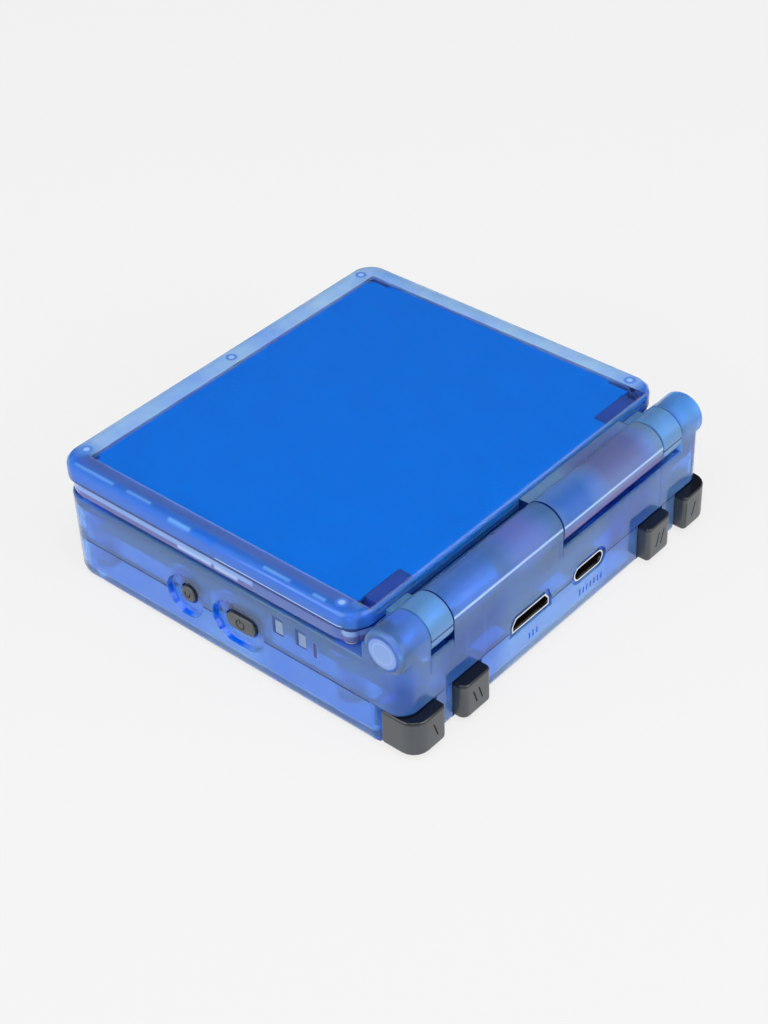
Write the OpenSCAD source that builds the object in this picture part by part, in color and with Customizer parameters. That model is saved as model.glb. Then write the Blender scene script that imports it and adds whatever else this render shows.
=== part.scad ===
// Clamshell handheld game console with a translucent case, lid closed.
// A two-part base holds the controls, ports, board and battery, and a two-part lid holds the
// display. The lid turns on barrels along the rear edge.
// Millimetres, Z up. The origin is the middle of the underside, and the hinge is at +Y.

/* [Base] */
// Width of the base and the lid
body_w = 89; // [88:0.5:96]
// Depth of the base, from the front wall to the rear wall
body_d = 85; // [84:0.5:92]
// Height of the line where the two base shells part
parting_h = 9.4; // [9.2:0.1:10.4]
// Height of the rim of the base
rim_h = 18.9; // [18.8:0.1:20.4]
// Radius of the front corners of the base, seen from above
front_corner_r = 6; // [4.5:0.5:7]
// Radius of the rear corners of the base, seen from above
rear_corner_r = 3.4; // [3.2:0.1:4]
// Wall of the base shells
base_wall = 1.6; // [1.4:0.1:1.8]
// Thickness of the floor
floor_t = 1.6; // [1.3:0.1:1.8]
// Radius of the lower outside edge
bottom_edge_r = 1.8; // [0.6:0.1:2]
// Radius of the upper outside edge of the rim
rim_edge_r = 0.5; // [0.2:0.1:0.8]
// Width of the rim round the sunk control deck
rim_w = 2.2; // [1.8:0.1:2.6]
// Depth of the control deck below the rim
deck_drop = 1.5; // [1.4:0.1:1.7]
// Thickness of the control deck
deck_t = 1.5; // [1.2:0.1:1.7]

/* [Lid] */
// Gap between the rim and the closed lid
lid_gap = 0.4; // [0.3:0.1:0.8]
// Height of the inner half of the lid
bezel_h = 3; // [2.8:0.1:3.4]
// Height of the outer half of the lid
cover_h = 3.8; // [3.7:0.1:4.4]
// Groove between the two halves of the lid
seam_gap = 0.1; // [0.05:0.05:0.2]
// Wall of both halves of the lid
lid_wall = 1.4; // [1.2:0.1:1.6]
// Thickness of the roof over the backing plate
roof_t = 1.2; // [1:0.1:1.3]
// Corner radius of the outer half, seen from above
cover_corner_r = 5; // [4:0.5:6.5]
// Corner radius of the inner half, seen from above
bezel_corner_r = 6.2; // [5:0.2:7]
// Radius of the upper outside edge
cover_edge_r = 1.3; // [0.6:0.1:1.5]
// How far the inner half stands back from the outer half
bezel_inset = 0.25; // [0.1:0.05:0.4]
// Thickness of the backing plate
plate_t = 0.6; // [0.4:0.1:0.7]
// Gap between the backing plate and the roof
plate_gap = 0.05; // [0.02:0.01:0.1]

/* [Hinge] */
// Height of the hinge axis above the rim
hinge_rise = 3.5; // [3.4:0.1:4]
// Distance of the hinge axis from the rear wall's outer face
hinge_inset = 4.5; // [4.4:0.1:4.55]
// Outer radius of the barrels
barrel_r = 4.6; // [4.6:0.1:4.9]
// Radius of the hollow inside the long barrels
barrel_bore_r = 3.2; // [3:0.1:3.4]
// Radius of the clearance cut round the lid's barrels
pocket_r = 5.4; // [5.3:0.1:5.6]
// Length of the base's end knuckles
end_knuckle_l = 7.4; // [6.8:0.1:8.5]
// Length of the lid's rings
ring_l = 6; // [5:0.1:7.5]
// Gap at each seam between barrels that turn on each other
barrel_gap = 0.3; // [0.2:0.05:0.4]
// Space between the hinge axis and the rear edge of the lid
lid_setback = 5.8; // [5.7:0.1:6.4]
// Radius of the hinge pins
pin_r = 1.5; // [1.2:0.1:1.8]
// Radial running clearance of the pins
pin_clear = 0.05; // [0.03:0.01:0.08]
// Radius of the round caps over the pins
cap_r = 3.4; // [3:0.1:3.6]
// Thickness of the caps
cap_t = 1.2; // [1:0.1:1.5]

/* [Display] */
// Border of the lens at the sides
lens_side = 4.5; // [4:0.1:5]
// Border of the lens at the front
lens_front = 5.2; // [4.4:0.1:5.2]
// Border of the lens at the rear
lens_rear = 5.5; // [4.8:0.1:5.5]
// Thickness of the lens
lens_t = 1.1; // [0.9:0.1:1.2]
// How far the lens lies below the inner face of the lid
lens_sink = 0.2; // [0.1:0.1:0.3]
// How much narrower the display panel is than the lens
panel_less_w = 3.2; // [2.4:0.2:4]
// How much less deep the display panel is than the lens
panel_less_d = 1.4; // [1.2:0.2:3]
// Thickness of the display panel
panel_t = 2.5; // [2:0.1:2.7]
// Ledge that the lens rests on, left and right
ledge_side = 4; // [3.5:0.5:6]
// Ledge that the lens rests on, front and rear
ledge_front = 5; // [4:0.5:7]

/* [Controls] */
// Distance of the two control groups from the sides
group_side = 18; // [17.5:0.5:19.5]
// Place of the two control groups along the depth
group_y = 6; // [3:0.5:7]
// Width of one arm of the direction pad
dpad_arm = 8.2; // [7:0.2:9]
// Reach of the direction pad from its middle
dpad_reach = 11; // [10:0.5:11.5]
// Clearance round the direction pad
dpad_clear = 0.5; // [0.4:0.1:0.7]
// Tilt of the direction pad to each side, in degrees
dpad_tilt = 3; // [2:0.5:3]
// Radius of a face button
button_r = 3.6; // [3.2:0.1:3.8]
// Distance of each face button from the middle of its group
button_reach = 6.6; // [6.4:0.1:7]
// Travel of the face buttons
button_travel = 0.8; // [0.5:0.1:0.8]
// Side clearance of the buttons in their holes
button_clear = 0.3; // [0.2:0.05:0.35]
// Length of the start and select buttons
small_button_l = 6.4; // [5:0.2:7]
// Width of the start and select buttons
small_button_w = 2.8; // [2.4:0.1:3.2]
// Radius of the menu button
menu_r = 2.2; // [1.8:0.1:2.6]

/* [Side buttons] */
// Place of the reset button along the right side
reset_y = -10.2; // [-12:0.2:-9.8]
// Place of the power button along the right side
power_y = 3.2; // [3:0.2:5]
// Height of the side buttons
side_button_h = 3.7; // [3.2:0.1:4]
// Straight part of the power button
power_straight = 3.6; // [3:0.2:4]
// Radius of the scooped dish round a side button
dish_r = 4.6; // [4.2:0.1:4.8]
// Depth of the dish
dish_depth = 1.2; // [0.8:0.1:1.3]
// Travel of the power and reset buttons
side_travel = 0.4; // [0.2:0.1:0.4]
// Place of the volume rocker along the left side
volume_y = 12; // [11:0.5:13]
// Straight part of the volume rocker
volume_straight = 9; // [8:0.5:10]

/* [Shoulder buttons] */
// Length of an inner shoulder button
inner_shoulder_l = 7.5; // [7:0.1:8]
// Length of an outer shoulder button along the rear wall
outer_shoulder_l = 8.2; // [7.6:0.1:8.3]
// Length of an outer shoulder button along the side wall
outer_shoulder_side = 5.8; // [5.2:0.1:5.9]
// Strip of rear wall between an inner and an outer shoulder button
shoulder_strip = 4.8; // [4.2:0.1:5]
// How far the shoulder buttons stand out of the rear wall
shoulder_proud = 2.5; // [2:0.1:3]
// Height of the underside of the shoulder buttons
shoulder_low = 1.2; // [1:0.1:1.8]
// Travel of the shoulder buttons
shoulder_travel = 0.5; // [0.3:0.1:0.5]
// Gap between the front end of an outer shoulder button and the shell
shoulder_gap = 0.7; // [0.6:0.1:0.8]

/* [Ports and inside] */
// Thickness of the main board
board_t = 1; // [0.8:0.1:1.2]
// Height of the underside of the main board above the parting line
board_rise = 2.3; // [2.2:0.1:2.4]
// Middle of the display output port, across the rear
video_x = 9.4; // [9:0.1:11]
// Width of the display output port
video_w = 10.8; // [10.4:0.1:11.2]
// Height of the display output port
video_h = 3; // [2.8:0.1:3.2]
// Middle of the rear round-ended port
usb_x = -8.1; // [-9:0.1:-7]
// Width of a round-ended port
usb_w = 8.9; // [8.7:0.1:9.1]
// Height of a round-ended port
usb_h = 3.2; // [3:0.1:3.3]
// Radius of the headphone socket's bore
jack_r = 1.8; // [1.75:0.05:1.9]
// Distance of the headphone socket from the left side
jack_side = 16.5; // [14.5:0.5:18.5]
// Width of the battery
battery_w = 60; // [50:1:62]
// Depth of the battery
battery_d = 46; // [40:1:47]
// Thickness of the battery
battery_t = 6; // [4:0.2:6.4]

/* [Hidden] */
$fn = 64;

// Facets in a quarter turn of a skinned shell and of a skinned small part
shell_steps = 10;
small_steps = 5;
// Steps of a rounded edge, in degrees
edge_step = 30;
// Overrun of every cut
over = 1;

shell_blue = [0.36, 0.47, 0.90];
plate_blue = [0.04, 0.36, 0.86];
key_grey = [0.25, 0.28, 0.30];
steel = [0.75, 0.76, 0.78];
board_green = [0.10, 0.24, 0.30];
rubber_grey = [0.55, 0.57, 0.62];
copper = [0.55, 0.33, 0.20];

half_w = body_w / 2;
half_d = body_d / 2;
corner_r = [front_corner_r, rear_corner_r, rear_corner_r, front_corner_r];
inner_corner_r = [for (r = corner_r) r - base_wall];
deck_h = rim_h - deck_drop;
ring_outer = half_w - end_knuckle_l;
ring_inner = ring_outer - ring_l;
deck_under = deck_h - deck_t;
hinge_y = half_d - hinge_inset;
hinge_z = rim_h + hinge_rise;
lid_rear = hinge_y - lid_setback;
lid_z0 = rim_h + lid_gap;
bezel_top = lid_z0 + bezel_h;
cover_z0 = bezel_top + seam_gap;
lid_top = cover_z0 + cover_h;
roof_under = lid_top - roof_t;
plate_under = roof_under - plate_gap - plate_t;

// The board hangs under the deck on the screw posts
board_z0 = parting_h + board_rise;
board_z1 = board_z0 + board_t;
board_margin = 1.3;
board_w = body_w - 2 * base_wall - 2 * board_margin;
board_y = half_d - base_wall - board_margin;
board_hole_r = 3.1;

// Shoulder buttons and their pockets
outer_shoulder_x = half_w - outer_shoulder_l;
outer_shoulder_y = half_d - outer_shoulder_side;
inner_shoulder_end = outer_shoulder_x - shoulder_strip;
inner_shoulder_x = inner_shoulder_end - inner_shoulder_l;
shoulder_top_edge = 0.4;
shoulder_low_edge = 0.8;
shoulder_top = parting_h - 0.3;
pocket_clear = 0.3;
pocket_wall = 1.2;
shoulder_root = 4;
tongue_top = board_z0 - 0.5;
tongue_clear = 0.3;
tongue_l = 3.6;
notch_x = outer_shoulder_x - pocket_clear;
notch_y = outer_shoulder_y - shoulder_gap;
pocket_floor = shoulder_low - 0.3;

// Screw posts of the base, as places from the middle. The rear ones stand in front of the ports.
port_depth = 7.4;
post_r = 2.6;
post_edge = 5.5;
post_places = [
    for (side = [-1, 1])
    each [
        [side * (half_w - post_edge), -half_d + post_edge + 0.5],
        [side * (half_w - post_edge - 1), 25],
        [side * (inner_shoulder_x - 5), half_d - port_depth - post_r - 0.5]
    ]
];
screw_r = 0.9;
screw_head_r = 1.7;
screw_head_t = 1.2;
screw_head_z = 0.5;
screw_clear = 0.15;
post_seat_h = 2.6;

// Screw posts of the lid
lid_boss_r = 1.9;
lid_screw_r = 0.7;
lid_head_r = 1.4;
lid_head_t = 0.8;
lid_boss_front = -half_d + 2.9;
lid_boss_side_x = half_w - 5.5;
lid_boss_rear_x = half_w - 2.6;
lid_boss_rear_y = lid_rear - 3.3;
lid_posts = [
    [0, lid_boss_front], [lid_boss_side_x, lid_boss_front], [-lid_boss_side_x, lid_boss_front],
    [lid_boss_rear_x, lid_boss_rear_y], [-lid_boss_rear_x, lid_boss_rear_y]
];

// Raised blocks inside the lid at the roots of its arms
root_x0 = ring_inner - 2.7;
root_x1 = ring_outer + 0.5;
root_y0 = lid_rear - lid_wall - 2.6;
root_y1 = lid_rear - lid_wall - 0.1;

// Display stack, measured from the inner face of the lid
lens_w = body_w - 2 * lens_side;
lens_d = lid_rear + half_d - lens_front - lens_rear;
panel_w = lens_w - panel_less_w;
panel_d = lens_d - panel_less_d;
window_w = lens_w - 2 * ledge_side;
window_d = lens_d - 2 * ledge_front;
lens_recess = lens_sink + lens_t;
ledge_t = 0.7;
ledge_z = lid_z0 + lens_recess;
panel_z0 = ledge_z + ledge_t;
display_y = -half_d + lens_front + lens_d / 2;
lens_corner_r = 3;
lens_clear = 0.15;

// Side buttons
side_face_drop = 0.6;
side_pad_t = 1.3;
side_flange_t = 1;
side_flange_lip = 0.7;
rocker_less = 4;
dish_slope = 0.35;
pad_x = half_w - dish_depth - side_pad_t;
flange_x = pad_x - 0.3;

// Switches behind the side and shoulder buttons
switch_l = 4.6;
small_switch_l = 4;
switch_d = 3.2;
stem_l = 0.7;
stem_w = 2;
stem_h = 0.9;

// Upper parts of the keys and what holds them under the deck
group_x = half_w - group_side;
key_top = rim_h;
flange_top = deck_under - 0.2;
flange_t = 0.7;
flange_lip = 0.9;
flange_low = flange_top - flange_t;
sheet_t = 0.5;
dome_gap = 0.1;
small_travel = 0.6;
dpad_top = rim_h - 0.6;
dpad_flange_top = deck_under - 1;
dpad_pivot_z = dpad_flange_top - 0.5;
pivot_r = 1.5;
hollow_r = 6;
hollow_depth = 0.6;
select_x = 7.5;
small_y = -14;
menu_y = 17;
face_places = [[1, 0], [0, -1], [0, 1], [-1, 0]];

// Ports
shell_metal = 0.3;
usb_z = parting_h + 0.35;
video_z = board_z0 - video_h / 2;
port_clear = 0.2;
port_bevel = 0.8;
port_bevel_depth = 0.7;
video_slope = 1;
tongue_h = 0.7;
jack_r_out = 2.9;
jack_x = jack_side - half_w;
jack_l = 12;
jack_z = board_z0 - jack_r_out;
card_places = [-6, -21];
card_w = 12;
card_slot_w = 11.4;
card_h = 1.4;
card_slot_h = 1;
card_l = 15;

// Battery
battery_y = -half_d + 14 + battery_d / 2;
battery_rise = 0.1;
rib_t = 1.2;
rib_h = 3;

// Hinge inserts
friction_l = 13;
friction_r = barrel_bore_r - pin_clear;
cap_clear = 0.05;
pin_end = half_w - cap_t - 2;
barrel_end_wall = 1.4;
ribbon_t = 0.25;
ribbon_w = 10;
ribbon_r = 2.9;
ribbon_turns = 2.5;
ribbon_pitch = 0.5;
ribbon_x = 3.5;
ribbon_run = 24;
ribbon_slot = 1.2;
ribbon_y = hinge_y - 2.6;
ribbon_end_y = 27;
ribbon_low = plate_under - 0.8;
connector_h = 1.2;

// Light pipes through the right wall, each with a lamp on the board in front of it
light_places = [13.7, 19.2];
light_w = 1.9;
light_d = 3.4;
light_z0 = 13.5;
light_z1 = 16.7;
light_clear = 0.1;
lamp_w = 1;
lamp_h = 2.8;
lamp_gap = 1.1;
wall_rib_y = 21.2;
wall_rib_t = 0.6;

// Engraved marks of the buttons and the rear ports
sign_cut = 0.15;
sign_w = 0.28;
power_sign_r = 1.1;
reset_sign_r = 0.75;
bar_l = 3;
bar_w = 0.36;
bar_pitch = 1.5;
bar_lean = 0.5;
pip_l = 1.5;
pip_w = 0.4;
pip_pitch = 1.1;
pip_z = 4.9;

// Dimple in the top of the right barrel
dimple_place = [11.5, hinge_y - 2.7];
dimple_r = 0.7;
dimple_z = hinge_z + barrel_bore_r - 0.3;

// Speakers
speaker_x = half_w - 15.5;
speaker_y = 16.5 - half_d;
speaker_l = 16;
speaker_w = 9;
slot_count = 4;
slot_pitch = 2;
slot_l = 9;
slot_w = 0.9;

// Points of a rounded rectangle at one height, anticlockwise from its front right corner. The
// radii are those of the front right, rear right, rear left and front left corner.
function ring(x0, x1, y0, y1, radii, z, steps) = [
    for (i = [0:3])
    let (r = radii[i], x = i < 2 ? x1 - r : x0 + r, y = i == 1 || i == 2 ? y1 - r : y0 + r)
    for (k = [0:steps])
    let (a = 90 * (i - 1 + k / steps))
    [x + r * cos(a), y + r * sin(a), z]
];

// A ring drawn in by some distance on all sides. The radius is one number, or one for each corner.
function ring_in(x0, x1, y0, y1, r, z, steps, inset) =
    let (radii = [for (i = [0:3]) max((is_list(r) ? r[i] : r) - inset, 0.1)])
    ring(x0 + inset, x1 - inset, y0 + inset, y1 - inset, radii, z, steps);

// Solid skinned over rings of equal length, lowest first
module skin(rings) {
    n = len(rings[0]);
    top = (len(rings) - 1) * n;
    walls = [
        for (k = [0:len(rings) - 2], i = [0:n - 1])
        let (a = k * n + i, b = k * n + (i + 1) % n)
        each [[a, a + n, b + n], [a, b + n, b]]
    ];
    floor_face = [for (i = [0:n - 1]) i];
    roof_face = [for (i = [n - 1:-1:0]) top + i];
    polyhedron([for (one = rings) each one], concat([floor_face], walls, [roof_face]));
}

// Rounded box whose lower and upper outside edges are rounded by low_r and high_r
module soft_box(x0, x1, y0, y1, r, z0, z1, low_r = 0, high_r = 0, steps = shell_steps) {
    low = low_r > 0 ? [0:edge_step:90] : [90];
    high = high_r > 0 ? [90:-edge_step:0] : [90];
    skin(concat(
        [for (a = low)
            ring_in(x0, x1, y0, y1, r, z0 + low_r * (1 - cos(a)), steps, low_r * (1 - sin(a)))],
        [for (a = high)
            ring_in(x0, x1, y0, y1, r, z1 - high_r * (1 - cos(a)), steps, high_r * (1 - sin(a)))]
    ));
}

// Box between two corners
module box(x0, x1, y0, y1, z0, z1) {
    translate([x0, y0, z0]) cube([x1 - x0, y1 - y0, z1 - z0]);
}

// Cylinder along X from x0 to x1, on the hinge axis unless told otherwise
module rod_x(x0, x1, r, y = hinge_y, z = hinge_z) {
    translate([x0, y, z]) rotate([0, 90, 0]) cylinder(r = r, h = x1 - x0);
}

// Cylinder along Z at a place
module post(place, r, z0, z1) {
    translate([place[0], place[1], z0]) cylinder(r = r, h = z1 - z0);
}

// Both copies of something that is the same on the left and the right
module both_sides() {
    children();
    mirror([1, 0, 0]) children();
}

// Round-ended flat outline, with its straight part along X
module oval(straight, r) {
    if (straight > 0) square([straight, 2 * r], center = true);
    for (side = [-1, 1]) translate([side * straight / 2, 0]) circle(r = r);
}

// Thin line between two points of an outline, with square ends
module stroke(from, to, w) {
    along = to - from;
    translate(from) rotate(atan2(along[1], along[0]))
        translate([0, -w / 2]) square([norm(along), w]);
}

// Outline of an open ring with its gap upwards, and a bar in the gap
module power_sign() {
    difference() {
        circle(r = power_sign_r);
        circle(r = power_sign_r - sign_w);
        translate([-sign_w * 1.5, 0]) square([3 * sign_w, 2 * power_sign_r]);
    }
    translate([-sign_w / 2, power_sign_r * 0.2]) square([sign_w, power_sign_r]);
}

// Outline of an open ring with its gap upwards
module reset_sign() {
    difference() {
        circle(r = reset_sign_r);
        circle(r = reset_sign_r - sign_w);
        rotate(45) square([reset_sign_r, reset_sign_r]);
    }
}

// Outline of the mark on a shoulder button: one leaning bar for an outer, two for an inner button
module bar_sign(count) {
    for (i = [0:count - 1]) {
        x = (i - (count - 1) / 2) * bar_pitch;
        stroke([x - bar_lean, -bar_l / 2], [x + bar_lean, bar_l / 2], bar_w);
    }
}

// Outline of the display output port, wide side down
module video_outline(grow) {
    w = video_w / 2 + grow;
    h = video_h / 2 + grow;
    polygon([[-w, -h], [w, -h], [w, 0], [w - video_slope, h], [video_slope - w, h], [-w, 0]]);
}

// Extrusion of an outline along Y from y0 to y1, standing upright at x and z
module along_y(x, z, y0, y1) {
    translate([x, y1, z]) rotate([90, 0, 0]) linear_extrude(y1 - y0) children();
}

// Extrusion of an outline along X on the right side, with the outline's X along the depth
module along_x(y, z, x0, x1) {
    translate([x0, y, z]) rotate([90, 0, 90]) linear_extrude(x1 - x0) children();
}

// Scooped dish round a side button: a bowl swept along the button's straight part
module side_dish(y, straight) {
    bowl = [
        [0, -over], [dish_r, -over], [dish_r, 0], [dish_r - dish_slope, dish_depth * 0.8],
        [dish_r - 2 * dish_slope, dish_depth], [0, dish_depth]
    ];
    translate([half_w, y, parting_h]) rotate([0, -90, 0]) {
        for (side = [-1, 1]) translate([0, side * straight / 2]) rotate_extrude() polygon(bowl);
        if (straight > 0) translate([0, straight / 2]) rotate([90, 0, 0])
            linear_extrude(straight) {
                polygon(bowl);
                mirror([1, 0]) polygon(bowl);
            }
    }
}

// Through hole of a side button
module side_hole(y, straight) {
    along_x(y, parting_h, pad_x - over, half_w) oval(straight, side_button_h / 2 + button_clear);
}

// Thick pad behind a dish
module side_pad(y, straight) {
    along_x(y, parting_h, pad_x, half_w - base_wall / 2) oval(straight, dish_r + 0.6);
}

// Draws its child at each side button, which reads the place $y and the straight part $straight
module at_side_buttons() {
    for (one = [[reset_y, 0], [power_y, power_straight]]) {
        $y = one[0];
        $straight = one[1];
        children();
    }
    mirror([1, 0, 0]) {
        $y = volume_y;
        $straight = volume_straight;
        children();
    }
}

// Everything that the rear and front ports cut from the shells
module port_cuts() {
    along_y(video_x, video_z, half_d - base_wall - over, half_d + over) video_outline(port_clear);
    along_y(video_x, video_z, half_d - port_bevel_depth, half_d + over) video_outline(port_bevel);
    for (one = [[usb_x, half_d], [0, base_wall - half_d]]) {
        along_y(one[0], usb_z, one[1] - base_wall - over, one[1] + over)
            oval(usb_w - usb_h, usb_h / 2 + port_clear);
    }
    along_y(usb_x, usb_z, half_d - port_bevel_depth, half_d + over)
        oval(usb_w - usb_h, usb_h / 2 + port_bevel);
    along_y(jack_x, jack_z, -half_d - over, base_wall - half_d + over)
        circle(r = jack_r_out + button_clear);
}

// Engraved row of short bars under a rear port
module port_pips(x, count) {
    for (i = [0:count - 1])
        along_y(x + (i - (count - 1) / 2) * pip_pitch, pip_z, half_d - sign_cut, half_d + over)
            square([pip_w, pip_l], center = true);
}

// Space taken out of both shells by the shoulder buttons' pockets, on the right side
module shoulder_cuts() {
    box(inner_shoulder_x - pocket_clear, inner_shoulder_end + pocket_clear,
        half_d - shoulder_root - pocket_clear - shoulder_travel, half_d + over,
        pocket_floor, parting_h);
    box(notch_x, half_w + over, notch_y, half_d + over, -over, parting_h);
    difference() {
        box(half_w - base_wall, half_w + over, notch_y - base_wall, notch_y, -over, parting_h);
        post([half_w - base_wall, notch_y - base_wall], base_wall, -over, parting_h);
    }
}

// Walls round the shoulder buttons' pockets, on the right side
module shoulder_walls() {
    root = half_d - shoulder_root - pocket_clear - shoulder_travel;
    box(inner_shoulder_x - pocket_clear - pocket_wall, inner_shoulder_end + pocket_clear + pocket_wall,
        root - pocket_wall, half_d - base_wall / 2, floor_t / 2, parting_h);
    box(notch_x - pocket_wall, notch_x + over, notch_y - pocket_wall, half_d - base_wall / 2,
        floor_t / 2, parting_h);
    box(notch_x - pocket_wall, half_w - base_wall, notch_y - pocket_wall, notch_y + over,
        floor_t / 2, parting_h);
}

module base_lower_shell() {
    color(shell_blue)
    difference() {
        union() {
            difference() {
                soft_box(-half_w, half_w, -half_d, half_d, corner_r, 0, parting_h, bottom_edge_r);
                soft_box(base_wall - half_w, half_w - base_wall, base_wall - half_d,
                    half_d - base_wall, inner_corner_r, floor_t, parting_h + over, 0.8);
            }
            for (place = post_places) post(place, post_r, floor_t / 2, parting_h);
            intersection() {
                at_side_buttons() side_pad($y, $straight);
                box(-half_w, half_w, -half_d, half_d, floor_t / 2, parting_h);
            }
            both_sides() shoulder_walls();
            for (side = [-1, 1]) {
                box(side * (battery_w / 2 + rib_t / 2 + 0.4) - rib_t / 2,
                    side * (battery_w / 2 + rib_t / 2 + 0.4) + rib_t / 2,
                    battery_y - battery_d / 2, battery_y + battery_d / 2 - 8,
                    floor_t / 2, floor_t + rib_h);
            }
            box(-battery_w / 3, battery_w / 3, battery_y + battery_d / 2 + 0.4,
                battery_y + battery_d / 2 + 0.4 + rib_t, floor_t / 2, floor_t + rib_h);
        }
        both_sides() shoulder_cuts();
        at_side_buttons() {
            side_dish($y, $straight);
            side_hole($y, $straight);
        }
        port_cuts();
        port_pips(video_x - 0.7, 3);
        port_pips(usb_x - 0.7, 7);
        for (place = post_places) {
            post(place, screw_head_r + screw_clear, -over, screw_head_z + screw_head_t);
            post(place, screw_r + screw_clear, 0, parting_h + over);
        }
    }
}

// Solid behind the deck that carries the base's own barrels, on the right side
module rear_tower(x0, x1) {
    box(x0, x1, hinge_y - barrel_r, half_d, deck_under, hinge_z);
    rod_x(x0, x1, barrel_r);
}

// Barrel of an end knuckle, with a rounded outer end
module end_barrel() {
    edge = 1.1;
    x0 = ring_outer + barrel_gap / 2;
    translate([x0, hinge_y, hinge_z]) rotate([0, 90, 0]) {
        cylinder(r = barrel_r, h = half_w - x0 - edge);
        translate([0, 0, half_w - x0 - edge]) rotate_extrude() {
            square([barrel_r - edge, edge]);
            intersection() {
                translate([barrel_r - edge, 0]) circle(r = edge);
                square([barrel_r, edge]);
            }
        }
    }
}

// Outline of the direction pad, grown by a distance
module cross(grow) {
    for (turn = [0, 90]) rotate(turn)
        square([2 * (dpad_reach + grow), dpad_arm + 2 * grow], center = true);
}

// Clearance cut round a barrel of the lid
module barrel_pocket(x0, x1) {
    rod_x(x0, x1, pocket_r);
}

module base_upper_shell() {
    color(shell_blue)
    difference() {
        union() {
            difference() {
                soft_box(-half_w, half_w, -half_d, half_d, corner_r, parting_h, rim_h, 0, rim_edge_r);
                soft_box(base_wall - half_w, half_w - base_wall, base_wall - half_d,
                    half_d - base_wall, inner_corner_r, parting_h - over, deck_under);
            }
            intersection() {
                both_sides() box(ring_outer + barrel_gap / 2, half_w, hinge_y - barrel_r, half_d,
                    deck_under, hinge_z);
                soft_box(-half_w, half_w, 0, half_d, corner_r, parting_h, lid_top);
            }
            intersection() {
                union() {
                    both_sides() end_barrel();
                    rear_tower(barrel_gap / 2, ring_inner - barrel_gap / 2);
                }
                box(-half_w, half_w, 0, half_d, 0, 2 * lid_top);
            }
            box(half_w - base_wall - 0.9, half_w - base_wall / 2, wall_rib_y,
                wall_rib_y + wall_rib_t, board_z1, deck_under + over);
            for (place = post_places) post(place, post_r, parting_h, deck_under + deck_t / 2);
            intersection() {
                at_side_buttons() side_pad($y, $straight);
                box(-half_w, half_w, -half_d, half_d, parting_h, deck_under);
            }
        }
        soft_box(rim_w - half_w, half_w - rim_w, rim_w - half_d, hinge_y - barrel_r,
            [front_corner_r - rim_w, 1, 1, front_corner_r - rim_w], deck_h, rim_h + over);
        barrel_pocket(ring_inner - barrel_gap / 2, ring_outer + barrel_gap / 2);
        barrel_pocket(-ring_outer - barrel_gap / 2, barrel_gap / 2);
        rod_x(barrel_gap / 2 + barrel_end_wall, ring_inner, barrel_bore_r);
        rod_x(0, barrel_gap / 2 + barrel_end_wall + over, ribbon_r + ribbon_t);
        box(ribbon_x - 0.5, ribbon_x + ribbon_w + 0.5, ribbon_y, ribbon_y + ribbon_slot,
            deck_under - over, hinge_z - 1.5);
        both_sides() {
            rod_x(ring_outer, pin_end + 0.3, pin_r + pin_clear);
            rod_x(half_w - cap_t - cap_clear, half_w + over, cap_r + cap_clear);
        }
        at_side_buttons() {
            side_dish($y, $straight);
            side_hole($y, $straight);
        }
        port_cuts();
        for (y = card_places) box(-half_w - over, base_wall - half_w + over,
            y - card_slot_w / 2, y + card_slot_w / 2,
            board_z0 - (card_h + card_slot_h) / 2, board_z0 - (card_h - card_slot_h) / 2);
        for (y = light_places)
            box(half_w - light_d - light_clear, half_w + over, y - light_w / 2 - light_clear,
                y + light_w / 2 + light_clear, light_z0 - light_clear, light_z1 + light_clear);
        for (place = post_places) post(place, screw_r + pin_clear, parting_h - over, deck_under);
        translate([-group_x, group_y, deck_under - over]) linear_extrude(deck_t + 2 * over)
            cross(dpad_clear);
        translate([-group_x, group_y, deck_h - 0.3]) cylinder(r = dpad_reach + 3, h = over);
        for (step = face_places)
            post([group_x, group_y] + step * button_reach, button_r + button_clear,
                deck_under - over, deck_h + over);
        for (side = [-1, 1]) {
            translate([side * select_x, small_y, deck_under - over])
                linear_extrude(deck_t + 2 * over)
                oval(small_button_l - small_button_w, small_button_w / 2 + button_clear);
            for (i = [0:slot_count - 1])
                translate([side * speaker_x, speaker_y + (i - (slot_count - 1) / 2) * slot_pitch,
                    deck_under - over])
                rotate(side * 20) linear_extrude(deck_t + 2 * over) oval(slot_l, slot_w / 2);
        }
        post([0, menu_y], menu_r + button_clear, deck_under - over, deck_h + over);
        post(dimple_place, dimple_r, dimple_z, hinge_z + pocket_r);
    }
}

module base_screws() {
    color(steel)
    for (place = post_places) difference() {
        union() {
            post(place, screw_head_r, screw_head_z, screw_head_z + screw_head_t);
            post(place, screw_r, screw_head_z, deck_under - 0.4);
        }
        for (turn = [0, 90]) translate([place[0], place[1], screw_head_z]) rotate(turn)
            cube([screw_head_r * 1.3, screw_head_r * 0.3, screw_head_t * 0.75], center = true);
    }
}

module main_board() {
    notch = dish_depth + side_pad_t - 0.3;
    lip = dish_r + 1;
    color(board_green)
    translate([0, 0, board_z0]) linear_extrude(board_t) difference() {
        square([board_w, 2 * board_y], center = true);
        for (place = post_places) translate(place) circle(r = board_hole_r);
        for (one = [[1, reset_y, lip], [1, power_y, lip + power_straight / 2],
                    [-1, volume_y, lip + volume_straight / 2]])
            translate([one[0] * board_w / 2, one[1]]) square([2 * notch, 2 * one[2]], center = true);
        for (sx = [-1, 1], sy = [-1, 1]) translate([sx * board_w / 2, sy * board_y])
            rotate(45) square(board_hole_r * 1.6, center = true);
    }
}

module shield_can() {
    w = 26;
    d = 17;
    h = 1.8;
    wall = 0.3;
    color(steel)
    translate([-w / 2, 13, board_z0 - h]) difference() {
        cube([w, d, h]);
        translate([wall, wall, wall]) cube([w - 2 * wall, d - 2 * wall, h]);
    }
}

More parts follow.
